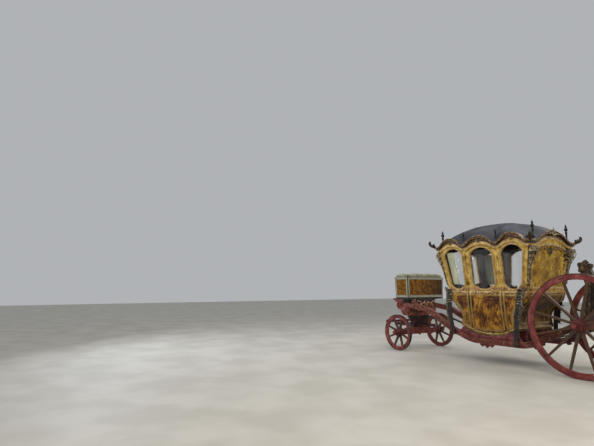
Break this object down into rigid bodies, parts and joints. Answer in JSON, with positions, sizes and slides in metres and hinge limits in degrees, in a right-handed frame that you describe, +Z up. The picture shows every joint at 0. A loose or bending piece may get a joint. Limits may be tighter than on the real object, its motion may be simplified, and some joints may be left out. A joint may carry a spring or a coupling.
{
  "type": "horse-drawn gala coach",
  "caption": "Closed eighteenth-century gala coach with a carved and gilded glazed body slung on leather braces between two perches, a steering fore-carriage and spoked wheels.",
  "frame": {"origin": "on the floor, under the middle of the overall length and width", "axes": "+X forward, the way the coach is drawn; +Y to the coach's left; +Z up"},
  "size_m": [6.0048, 1.9934, 2.99],
  "materials": {
    "red_paint": "madder red oil paint on timber",
    "tyre_iron": "wrought iron, painted red and worn",
    "window_glass": "old clear glass",
    "gilt_brass": "fire gilt",
    "gilt_panel": "gilded and painted timber",
    "gilt_moulding": "gilded mouldings",
    "gilt_carving": "carved and gilded timber",
    "roof_leather": "dark slate leather over boards",
    "dark_bronze": "dark patinated bronze",
    "strap_leather": "harness leather",
    "crimson_velvet": "silk velvet",
    "seat_velvet": "golden brown velvet with grey braid",
    "plain_wood": "plain timber",
    "black_iron": "blackened wrought iron"
  },
  "bodies": {
    "carriage": {"rear_axle": "red_paint", "turntable_upper": "black_iron", "front_transom": "red_paint", "king_pin": "black_iron", "perches": "red_paint", "body_floor": "gilt_panel", "front_quarters": "gilt_panel", "rear_quarters": "gilt_panel", "quarter_glass": "window_glass", "front_wall": "gilt_panel", "front_glass": "window_glass", "rear_wall": "gilt_panel", "cornice": "gilt_moulding", "roof": "roof_leather", "finials": "dark_bronze", "cornice_crests": "gilt_carving", "corner_carvings": "gilt_carving", "body_mouldings": "gilt_moulding", "door_hinges": "gilt_brass", "benches": "plain_wood", "seat_cushions": "crimson_velvet", "seat_backs": "crimson_velvet", "body_feet": "gilt_carving", "braces": "strap_leather", "brace_rollers": "black_iron", "check_straps": "strap_leather", "rear_transom": "red_paint", "rear_carving": "gilt_carving", "coachman_seat": "seat_velvet", "seat_carving": "gilt_carving", "seat_frame": "red_paint", "footboard": "red_paint"},
    "fore_carriage": {"front_axle": "red_paint", "turntable_lower": "black_iron", "bolster": "red_paint", "futchells": "red_paint", "splinter_bar": "red_paint"},
    "rear_wheel_left": {"wheel_rear_left": "red_paint", "tyre_rear_left": "tyre_iron"},
    "rear_wheel_right": {"wheel_rear_right": "red_paint", "tyre_rear_right": "tyre_iron"},
    "front_wheel_left": {"wheel_front_left": "red_paint", "tyre_front_left": "tyre_iron"},
    "front_wheel_right": {"wheel_front_right": "red_paint", "tyre_front_right": "tyre_iron"},
    "left_door": {"door_left": "gilt_panel", "door_glass_left": "window_glass", "door_mouldings_left": "gilt_moulding", "door_fittings_left": "gilt_brass"},
    "right_door": {"door_right": "gilt_panel", "door_glass_right": "window_glass", "door_mouldings_right": "gilt_moulding", "door_fittings_right": "gilt_brass"}
  },
  "joints": [
    {"name": "rear_left_wheel_spin", "type": "hinge", "parent": "carriage", "child": "rear_wheel_left", "pos_m": [-2.0925, 0.735, 0.91], "axis": [0, 1, 0], "continuous": true},
    {"name": "rear_right_wheel_spin", "type": "hinge", "parent": "carriage", "child": "rear_wheel_right", "pos_m": [-2.0925, -0.735, 0.91], "axis": [0, 1, 0], "continuous": true},
    {"name": "front_left_wheel_spin", "type": "hinge", "parent": "fore_carriage", "child": "front_wheel_left", "pos_m": [2.2825, 0.735, 0.44], "axis": [0, 1, 0], "continuous": true},
    {"name": "front_right_wheel_spin", "type": "hinge", "parent": "fore_carriage", "child": "front_wheel_right", "pos_m": [2.2825, -0.735, 0.44], "axis": [0, 1, 0], "continuous": true},
    {"name": "fore_carriage_steer", "type": "hinge", "parent": "carriage", "child": "fore_carriage", "pos_m": [2.2825, 0, 0.838], "axis": [0, 0, 1], "range_deg": [-28, 28]},
    {"name": "left_door_swing", "type": "hinge", "parent": "carriage", "child": "left_door", "pos_m": [0.1695, 0.73574, 1.66], "axis": [0, 0.0807, 0.9967], "range_deg": [-80, 0]},
    {"name": "right_door_swing", "type": "hinge", "parent": "carriage", "child": "right_door", "pos_m": [0.1695, -0.73574, 1.66], "axis": [0, -0.0807, 0.9967], "range_deg": [0, 80]}
  ]
}
